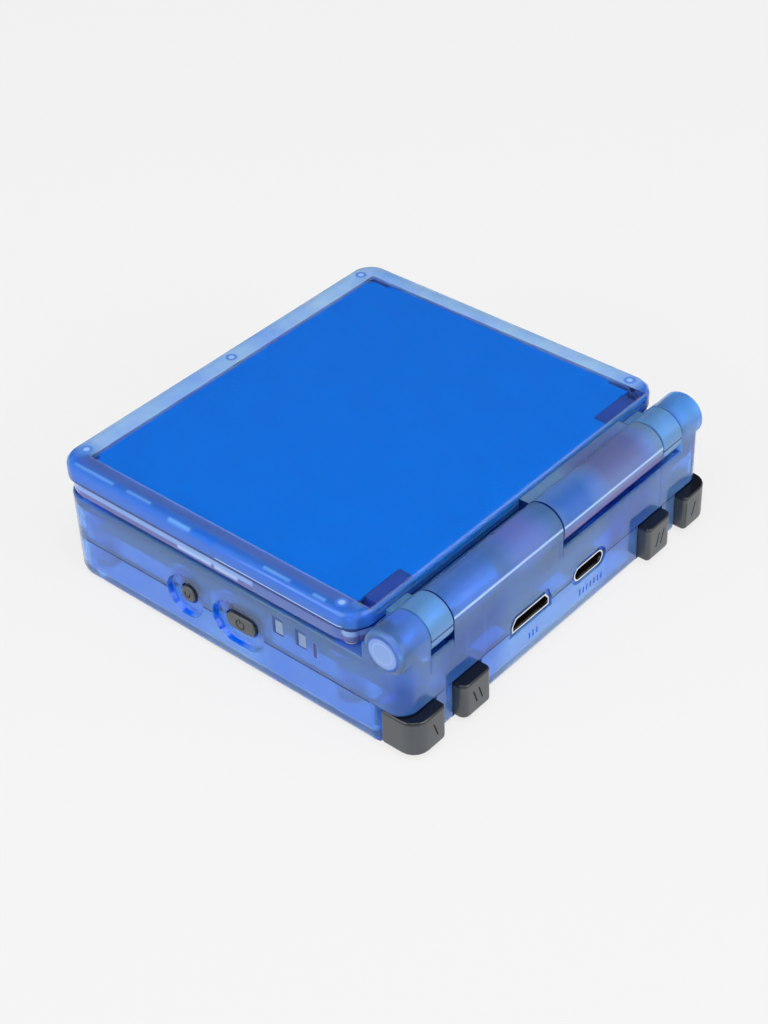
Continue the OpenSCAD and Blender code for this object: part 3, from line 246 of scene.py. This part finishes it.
def add_grain(tree, shader, scale, depth, bevel=0.0):
    """Fine bump, with softened edges: scale in cycles per metre, depth and bevel in metres."""
    bump = tree.nodes.new("ShaderNodeBump")
    bump.inputs["Strength"].default_value = 0.5
    bump.inputs["Distance"].default_value = depth
    tree.links.new(object_noise(tree, scale), bump.inputs["Height"])
    if bevel > 0:
        edge = tree.nodes.new("ShaderNodeBevel")
        edge.samples = 6
        edge.inputs["Radius"].default_value = bevel
        tree.links.new(edge.outputs["Normal"], bump.inputs["Normal"])
    tree.links.new(bump.outputs["Normal"], shader.inputs["Normal"])


def add_colours(tree, shader, low, high, scale):
    """Slow change between two colours."""
    colours = tree.nodes.new("ShaderNodeValToRGB")
    for element, position, colour in zip(colours.color_ramp.elements, (0.3, 0.7), (low, high)):
        element.position = position
        element.color = (*colour, 1)
    tree.links.new(object_noise(tree, scale), colours.inputs["Fac"])
    tree.links.new(colours.outputs["Color"], shader.inputs["Base Color"])


def frosted_plastic(name, low, high, roughness, clear, dye=BLUE_DYE):
    """Translucent tinted plastic, partly milky; its dye deepens its colour with its thickness."""
    material, tree, shader = new_material(name)
    for socket, value in (
            ("Roughness", roughness), ("IOR", 1.3), ("Specular Tint", (0.1, 0.4, 1, 1)),
            ("Transmission Weight", clear), ("Subsurface Weight", 1),
            ("Subsurface Radius", (0.3, 0.6, 1)), ("Subsurface Scale", 2 * MM),
            ("Coat Weight", 0.5), ("Coat Roughness", 0.06)):
        shader.inputs[socket].default_value = value
    add_colours(tree, shader, low, high, 90)
    add_grain(tree, shader, 4000, 0.01 * MM)
    absorb, density = dye
    volume = tree.nodes.new("ShaderNodeVolumeAbsorption")
    volume.inputs["Color"].default_value = (*absorb, 1)
    volume.inputs["Density"].default_value = density
    tree.links.new(volume.outputs["Volume"], tree.nodes["Material Output"].inputs["Volume"])
    return material


def plastic(name, low, high, roughness, bevel=0.0):
    """Opaque plastic or rubber with fine grain."""
    material, tree, shader = new_material(name)
    shader.inputs["Roughness"].default_value = roughness
    add_colours(tree, shader, low, high, 160)
    add_grain(tree, shader, 3000, 0.02 * MM, bevel)
    return material


def metal(name, low, high, roughness):
    """Plated or drawn metal."""
    material, tree, shader = new_material(name)
    shader.inputs["Metallic"].default_value = 1
    shader.inputs["Roughness"].default_value = roughness
    add_colours(tree, shader, low, high, 500)
    add_grain(tree, shader, 6000, 0.003 * MM)
    return material


# Finishes of the clear pieces, with what shows through them and painted light and shade

def tint_foot(shell):
    """Dark lower edge of the base."""
    tree = shell.node_tree
    low = ramp(tree, along(tree, "Z"), 1.5 * MM, 0.6 * MM)
    foot = number(tree, "MULTIPLY", outside(tree, *FOOT, 0.1 * MM), low)
    tint(shell, foot, (0.06, 0.08, 0.40), 0.3)


def tint_dish(shell, y, straight):
    """Painted shade above a side button where its switch shows through, and a painted shade
    crescent in its dish, on the side low and in front.
    """
    tree = shell.node_tree
    # Painted shade above the button, where the switch behind shows through
    switch_shade = [((44.2, y + 1, 12), (0.5, 1.5 + straight, 1))]
    tint_boxes(shell, (3, switch_shade, (0.10, 0.12, 0.22), 0.8))
    # Crescent of painted shade on the low front wall of the dish
    reach = 4.7
    dish = near(tree, 0.01, [((side * 43.85, y, PARTING_Z), (0.5, reach + straight, reach))
                             for side in (1, -1)])
    slant = 0.7
    towards = vector(tree, "DOT_PRODUCT", object_place(tree), (0, -slant, -slant))
    start = -slant * (y + PARTING_Z) * MM
    crescent = number(tree, "MULTIPLY", dish, ramp(tree, towards, start, start + 3 * MM))
    tint(shell, crescent, (0.0, 0.11, 0.70), 0.2)


def shell_plastic():
    """Both base shells."""
    shell = frosted_plastic("frosted_blue", (0.19, 0.43, 0.98), (0.25, 0.49, 0.99), 0.08, 0.82)
    tint_boxes(
        shell,
        # Light patches low on the rear wall and under the side buttons
        (5, [((3, REAR_Y, 4), (12, 1, 3))], (0.32, 0.56, 1.0), 0.75),
        (6, [((SIDE_X, 1, 3), (1, 5, 2))], (0.28, 0.53, 1.0), 0.8),
        # Dark patches on both sides of the rear ports, and painted shade at the rear right corner
        (5, [((26, REAR_Y, 14), (6, 1, 3))], (0.10, 0.29, 0.80), 0.82),
        (5, [((-20, REAR_Y, 14.5), (5, 1, 3))], (0.12, 0.30, 0.86), 0.82),
        (4, [((43, 41, 13), (1, 1, 2))], (0.11, 0.29, 0.84), 0.82))
    tint_foot(shell)
    for y, straight, _ in SIDE_BUTTONS:
        tint_dish(shell, y, straight)
    frames = [((SIDE_X, y - 0.25, 15.2), (0.2, 1.25, 1.95)) for y in PIPE_Y]
    barrel_ends = [((x, HINGE_Y, 23), (0.12, 8, 6)) for x in (0.1, 31.05, 37.05)]
    tint_boxes(
        shell,
        # Painted shade on the frames of the light pipes, a rib behind them, and the strokes under
        # the rear ports
        (0.1, frames, WINDOW_SHADE, 0.3),
        (0.4, [((44.3, 22.3, 14.3), (0.5, 0.3, 1.6))], (0.03, 0.04, 0.16), 0.3),
        (0.05, [((0.7, 42.35, 4.9), (15, 0.05, 1))], (0.02, 0.12, 0.62), 0.1),
        # Right middle barrel, left end barrel, and a bright line along the first
        (5, [((9, HINGE_Y, 26), (2, 2, 2))], (0.25, 0.34, 0.82), 0.7),
        (4, [((-42, HINGE_Y, 24), (2, 2, 1))], (0.08, 0.42, 1.0), 0.5),
        (0.35, [((15.5, REAR_Y, 23.5), (15.5, 0.4, 0.05))], HIGHLIGHT, 0.4),
        # Painted shade in the gap in front of the barrels, and dark ends
        (0.6, [((0, 33, 22.5), (44, 0.4, 3))], (0.01, 0.07, 0.40), 0.3),
        (0.1, barrel_ends, NAVY, 0.3))
    add_seam(shell, PARTING_Z, 0.36, BASE)
    ribs = [((x, 42.4, z), (0.1, 0.5, half)) for x, z, half in REAR_RIBS]
    tint_boxes(shell, (0.6, ribs, (0.07, 0.20, 0.62), 0.7))
    return shell


def barrel_plastic():
    """Cover of the left barrel."""
    barrel = frosted_plastic("frosted_barrel", (0.24, 0.48, 1.0), (0.32, 0.54, 1.0), 0.08, 0.7)
    middle, half = -15.5, 15.5
    ends = [((x, HINGE_Y, 23), (0.12, 8, 6)) for x in (-0.1, -30.95)]
    tint_boxes(
        barrel,
        # Dusky left part and deeper right part
        (5, [((-20, HINGE_Y, 26), (5, 3, 2))], (0.24, 0.29, 0.60), 0.7),
        (6, [((-5, 42, 26), (3, 2, 2))], (0.10, 0.32, 0.92), 0.75),
        # Painted shade on the underside, a painted highlight along the rear, and dark ends
        (0.6, [((middle, REAR_Y, 20), (half, 1.5, 2))], (0.14, 0.12, 0.38), 0.5),
        (0.35, [((middle, REAR_Y, 23.4), (half, 0.8, 0.05))], HIGHLIGHT, 0.4),
        (0.1, ends, NAVY, 0.3))
    return barrel


def tint_over_plate(cover):
    """Clear roof over the backing plate."""
    tree = cover.node_tree
    low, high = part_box("lid_backing_plate")
    middle = [(a + b) / 2 for a, b in zip(low, high)]
    half = [(b - a) / 2 for a, b in zip(low, high)]
    beside_plate = outside(tree, middle[:2], half[:2], 0.5 * MM, 0.4 * MM)
    tint(cover, number(tree, "SUBTRACT", 1.0, beside_plate), (0.80, 0.90, 1.0), 1.0)


def cover_plastic():
    """Outer half of the lid: clear over the plate, pale at the rim, deeper on two sides as
    painted shade.
    """
    cover = frosted_plastic("frosted_cover", (0.26, 0.48, 1.0), (0.44, 0.66, 1.0), 0.08, 0.45)
    tree = cover.node_tree
    # Painted shade: deeper blue towards the right and rear sides
    deeper = number(tree, "MAXIMUM", ramp(tree, along(tree, "X"), 36 * MM, 42 * MM),
                    ramp(tree, along(tree, "Y"), 28.5 * MM, 30.5 * MM))
    tint(cover, deeper, (0.07, 0.29, 0.92), 0.65)
    rim_highlights = [((x, y, ROOF_Z), (0.1, half, 0.6)) for x, y, half in RIM_HIGHLIGHTS]
    tint_boxes(
        cover,
        # Right rim: the edge of the display frame below it, painted highlights and a deeper
        # window
        (0.8, [((41.1, -5, ROOF_Z), (0.8, 33, 1))], (0.10, 0.19, 0.52), 0.5),
        (0.45, rim_highlights, (0.20, 0.46, 1.0), 0.5),
        (0.2, [((43.7, -4.1, ROOF_Z), (0.6, 2.6, 0.8))], (0.03, 0.24, 0.95), 0.6))
    # Screw bosses under the roof: a ring of painted shadow round each, and a painted highlight in
    # its middle
    for x, y in LID_SCREWS:
        reach = distance(tree, (*mm(x, y), 0), (0, 0, 1))
        tint(cover, ramp(tree, reach, 1.4 * MM, 0.9 * MM), (0.08, 0.26, 0.80), 0.4)
        tint(cover, ramp(tree, reach, 0.8 * MM, 0.4 * MM), (0.40, 0.62, 1.0), 0.4)
    tint_over_plate(cover)
    over_seam = [((SIDE_X, 14, 23.2), (0.2, 15, 0.04))]
    tint_boxes(cover, (0.1, over_seam, HIGHLIGHT, 0.3))
    add_seam(cover, LID_SEAM_Z + 0.4, 0.5, COVER)
    return cover


def bezel_plastic():
    """Inner half of the lid: pale under the cover, dusky below, with the hinge rings behind."""
    bezel = frosted_plastic("frosted_bezel", (0.24, 0.42, 1.0), (0.30, 0.48, 1.0), 0.12, 0.4)
    tree = bezel.node_tree
    low = ramp(tree, along(tree, "Z"), 21.2 * MM, 20.8 * MM)
    low_edge = number(tree, "MULTIPLY", low, outside(tree, *BEZEL, 1.5 * MM))
    tint(bezel, low_edge, (0.14, 0.15, 0.40), 0.4)
    tabs = [((44, y, 20.8), (1, half, 0.3)) for y, half in ((-6.7, 4.1), (1.2, 2.8))]
    ring_roots = [((x, 29.4, 23.5), (4.7, 1.3, 1.5)) for x in (33, -33)]
    tint_boxes(
        bezel,
        (0.5, [((44, 18, 21), (1, 10, 1.2))], (0.11, 0.18, 0.50), 0.4),
        (0.25, tabs, (0.38, 0.54, 1.0), 0.35),
        (0.1, ring_roots, (0.10, 0.20, 0.75), 0.5))
    rings = ramp(tree, along(tree, "Y"), 31.5 * MM, 32.5 * MM)
    tint(bezel, rings, (0.24, 0.54, 0.99), 0.7)
    add_seam(bezel, LID_SEAM_Z, 0.4, BEZEL)
    return bezel


def cap_plastic():
    """Hinge caps, with a dark rim and a ring of painted highlight."""
    caps = frosted_plastic("frosted_cap", (0.22, 0.36, 0.70), (0.25, 0.39, 0.72), 0.3, 0.35)
    tree = caps.node_tree
    low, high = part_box("hinge_cap_right")
    radius = (high[2] - low[2]) / 2
    middle = [0, (low[1] + high[1]) / 2, (low[2] + high[2]) / 2]
    reach = distance(tree, middle, (1, 0, 0))
    rim = ramp(tree, reach, radius - 0.5 * MM, radius - 0.2 * MM)
    tint(caps, rim, (0.02, 0.10, 0.50), 0.3)
    # Ring of painted highlight inside the rim
    ring = number(tree, "COMPARE", reach, radius * 0.62, 0.15 * MM)
    tint(caps, ring, (0.30, 0.45, 0.88), 0.3)
    return caps


def pipe_plastic():
    """Light pipes, with painted shade on their rims."""
    pipes = frosted_plastic("pipe_clear", (0.28, 0.42, 0.72), (0.32, 0.46, 0.75), 0.1, 0.5,
                            dye=((0.6, 0.8, 1.0), 30))
    rims = [((44, y - 0.95, 15.1), (1, 0.15, 2)) for y in PIPE_Y]
    rims.append(((44, 16.5, 16.7), (1, 5, 0.2)))
    tint_boxes(pipes, (0.1, rims, WINDOW_SHADE, 0.3))
    return pipes


# Finishes of the opaque pieces, with painted shade on some

def key_plastic():
    """All buttons: painted shade, near black, on the shoulder buttons' top faces, and near black
    in the engraved signs.
    """
    keys = plastic("key_charcoal", (0.026, 0.031, 0.037), (0.033, 0.039, 0.046), 0.3,
                   bevel=0.12 * MM)
    principled(keys).inputs["IOR"].default_value = 1.65
    tree = keys.node_tree
    # Painted shade on the shoulder buttons' top faces, under the overhang of the shell
    top_face_shade = number(tree, "MULTIPLY", ramp(tree, along(tree, "Z"), 8.3 * MM, 8.8 * MM),
                       ramp(tree, along(tree, "Y"), 25 * MM, 26 * MM))
    blend_in(keys, "Base Color", top_face_shade, (0.004, 0.005, 0.009))
    blend_in(keys, "Roughness", top_face_shade, 0.15)
    blend_in(keys, "Specular IOR Level", top_face_shade, 0.3)
    signs = [((x, y, 5.15), (2.5, 0.05, 2.5)) for x, y in SHOULDER_SIGNS]
    signs += [((43.75, y, PARTING_Z), (0.05, reach, reach)) for y, _, reach in SIDE_BUTTONS]
    signs = near(tree, 0.01, signs)
    blend_in(keys, "Base Color", signs, (0.001, 0.001, 0.001))
    blend_in(keys, "Roughness", signs, 0.9)
    return keys


def plate_plastic():
    """Backing plate under the roof of the lid."""
    plate = plastic("plate_blue", (0.001, 0.225, 0.79), (0.001, 0.24, 0.83), 0.45)
    principled(plate).inputs["Specular IOR Level"].default_value = 0.1
    return plate


def port_metal():
    """Metal of the ports: bright at the mouths, in the front and rear walls, and black within as
    painted shade.
    """
    ports = metal("port_steel", (0.78, 0.77, 0.76), (0.86, 0.85, 0.84), 0.2)
    tree = ports.node_tree
    from_middle = number(tree, "ABSOLUTE", along(tree, "Y"))
    mouths_start = cad_box[1][1] - 3.1 * MM  # the box ends at the shoulder buttons
    # Painted shade: black deeper inside than the mouths
    inside = number(tree, "LESS_THAN", from_middle, mouths_start)
    blend_in(ports, "Base Color", inside, (0.004, 0.004, 0.005))
    blend_in(ports, "Metallic", inside, 0.0)
    return ports


def paint(material, *names):
    """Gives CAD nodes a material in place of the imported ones."""
    for name in names:
        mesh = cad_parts[name].data
        mesh.materials.clear()
        mesh.materials.append(material)


# Smooth shading

def smoothing_group(angle):
    """Geometry nodes that weld a faceted mesh and smooth its edges below an angle in degrees."""
    tree = bpy.data.node_groups.new("smooth_below_angle", "GeometryNodeTree")
    for side in ("INPUT", "OUTPUT"):
        tree.interface.new_socket("Geometry", in_out=side, socket_type="NodeSocketGeometry")
    source = tree.nodes.new("NodeGroupInput")
    merge = tree.nodes.new("GeometryNodeMergeByDistance")
    merge.inputs["Distance"].default_value = 0.002 * MM
    edge = tree.nodes.new("GeometryNodeInputMeshEdgeAngle")
    sharp = tree.nodes.new("FunctionNodeCompare")
    sharp.inputs["B"].default_value = math.radians(angle)
    faces = tree.nodes.new("GeometryNodeSetShadeSmooth")
    edges = tree.nodes.new("GeometryNodeSetShadeSmooth")
    edges.domain = "EDGE"
    edges.inputs["Shade Smooth"].default_value = False
    result = tree.nodes.new("NodeGroupOutput")
    tree.links.new(edge.outputs["Unsigned Angle"], sharp.inputs["A"])
    tree.links.new(sharp.outputs["Result"], edges.inputs["Selection"])
    chain = (source, merge, faces, edges, result)
    for node, following in zip(chain, chain[1:]):
        tree.links.new(node.outputs["Geometry"], following.inputs["Geometry"])
    return tree


def smooth(piece, group):
    """Smooth shading that keeps flat faces flat."""
    piece.modifiers.new("smooth", "NODES").node_group = group
    weighted = piece.modifiers.new("weighted", "WEIGHTED_NORMAL")
    weighted.keep_sharp = True


# Stage

def floor_material():
    """Pale floor: mostly the plain background colour, with a faint share of real shading.

    Gloss and clear plastic show the plain colour too.
    """
    material, tree, shader = new_material("floor")
    shader.inputs["Base Color"].default_value = (0.63, 0.63, 0.63, 1)
    shader.inputs["Roughness"].default_value = 0.9
    path = tree.nodes.new("ShaderNodeLightPath")
    plain = tree.nodes.new("ShaderNodeEmission")
    plain.inputs["Color"].default_value = BACKGROUND
    through = number(tree, "MAXIMUM", path.outputs["Is Glossy Ray"],
                     path.outputs["Is Transmission Ray"])
    share = number(tree, "MULTIPLY_ADD", path.outputs["Is Camera Ray"], 0.85, through)
    mix = tree.nodes.new("ShaderNodeMixShader")
    tree.links.new(share, mix.inputs["Fac"])
    tree.links.new(shader.outputs["BSDF"], mix.inputs[1])
    tree.links.new(plain.outputs["Emission"], mix.inputs[2])
    tree.links.new(mix.outputs["Shader"], tree.nodes["Material Output"].inputs["Surface"])
    return material


def make_floor():
    """Large round floor just under the base."""
    mesh = bpy.data.meshes.new("floor")
    shape = bmesh.new()
    bmesh.ops.create_circle(shape, cap_ends=True, radius=3, segments=64)
    shape.to_mesh(mesh)
    shape.free()
    mesh.materials.append(floor_material())
    floor = bpy.data.objects.new("floor", mesh)
    floor.location.z = -0.05 * MM
    bpy.context.collection.objects.link(floor)


def make_world(bright, dim, dim_side):
    """Pale surroundings that are dimmer towards one side, and plain background for the camera."""
    world = bpy.data.worlds.new("studio")
    bpy.context.scene.world = world
    world.use_nodes = True
    tree = world.node_tree
    light = tree.nodes["Background"]
    light.inputs["Color"].default_value = (1, 1, 1, 1)
    direction = tree.nodes.new("ShaderNodeTexCoord").outputs["Generated"]
    nearness = vector(tree, "DOT_PRODUCT", direction, Vector(dim_side).normalized())
    strength = ramp(tree, nearness, 0.2, 0.9, bright, dim)
    tree.links.new(strength, light.inputs["Strength"])
    plain = tree.nodes.new("ShaderNodeBackground")
    plain.inputs["Color"].default_value = BACKGROUND
    path = tree.nodes.new("ShaderNodeLightPath")
    mix = tree.nodes.new("ShaderNodeMixShader")
    tree.links.new(path.outputs["Is Camera Ray"], mix.inputs["Fac"])
    tree.links.new(light.outputs["Background"], mix.inputs[1])
    tree.links.new(plain.outputs["Background"], mix.inputs[2])
    tree.links.new(mix.outputs["Shader"], tree.nodes["World Output"].inputs["Surface"])


def add_lamp(name, position, power):
    """Large soft area lamp that faces the origin. Power is in watts."""
    data = bpy.data.lights.new(name, "AREA")
    data.size = 0.6
    data.energy = power
    lamp = bpy.data.objects.new(name, data)
    lamp.location = position
    lamp.rotation_mode = "QUATERNION"
    lamp.rotation_quaternion = Vector(position).to_track_quat("Z", "Y")
    bpy.context.collection.objects.link(lamp)


# The console

for material, *names in (
        (shell_plastic(), "base_upper_shell", "base_lower_shell"),
        (barrel_plastic(), "lid_barrel_cover"),
        (cap_plastic(), "hinge_cap_right", "hinge_cap_left"),
        (cover_plastic(), "lid_cover"),
        (bezel_plastic(), "lid_bezel"),
        (pipe_plastic(), "light_pipes"),
        (plate_plastic(), "lid_backing_plate"),
        (key_plastic(), "dpad_pivot", "dpad", "button_a", "button_b", "button_x", "button_y",
         "button_start", "button_select", "button_menu", "shoulder_l1", "shoulder_l2",
         "shoulder_r1", "shoulder_r2", "power_button", "reset_button", "volume_rocker"),
        (port_metal(), "video_port", "rear_usb_port", "charging_port"),
        (metal("plated_steel", (0.62, 0.61, 0.60), (0.72, 0.71, 0.70), 0.25),
         "base_screws", "lid_screws", "shield_can", "card_sockets", "lid_magnet"),
        (metal("pin_steel", (0.50, 0.52, 0.60), (0.55, 0.58, 0.66), 0.5),
         "hinge_friction_unit", "hinge_pin_left"),
        (plastic("black_plastic", (0.012, 0.012, 0.013), (0.020, 0.020, 0.022), 0.4),
         "board_chips", "headphone_jack", "speakers", "shoulder_switches", "side_switches"),
        (plastic("board_mask", (0.015, 0.05, 0.09), (0.02, 0.07, 0.12), 0.3), "main_board"),
        (plastic("battery_foil", (0.75, 0.77, 0.80), (0.80, 0.82, 0.85), 0.35), "battery"),
        (plastic("grey_rubber", (0.25, 0.27, 0.33), (0.31, 0.33, 0.39), 0.6),
         "dpad_membrane", "face_button_membrane", "menu_membranes", "lid_bumpers"),
        (plastic("cable_film", (0.26, 0.10, 0.04), (0.34, 0.14, 0.06), 0.3),
         "ribbon_cable_base", "ribbon_cable_lid"),
        (plastic("lens_black", (0.006, 0.006, 0.008), (0.010, 0.010, 0.012), 0.08),
         "screen_lens"),
        (plastic("panel_grey", (0.45, 0.50, 0.62), (0.50, 0.55, 0.66), 0.3), "display_panel")):
    paint(material, *names)

group = smoothing_group(angle=30)
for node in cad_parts.values():
    smooth(node, group)

make_floor()
make_world(bright=1.1, dim=0.08, dim_side=(-0.55, -0.5, 0.67))
add_lamp("top", (0.25, 0.25, 0.9), 6)
add_lamp("right", (0.8, -0.2, 0.25), 3.5)
add_lamp("rear", (-0.1, 0.8, 0.25), 4)
make_camera(azimuth=132.108, elevation=38.234, roll=-2.302,
            position=(0.23227, 0.20940, 0.25293), lens=72.16)
bpy.context.scene.view_settings.view_transform = "Standard"
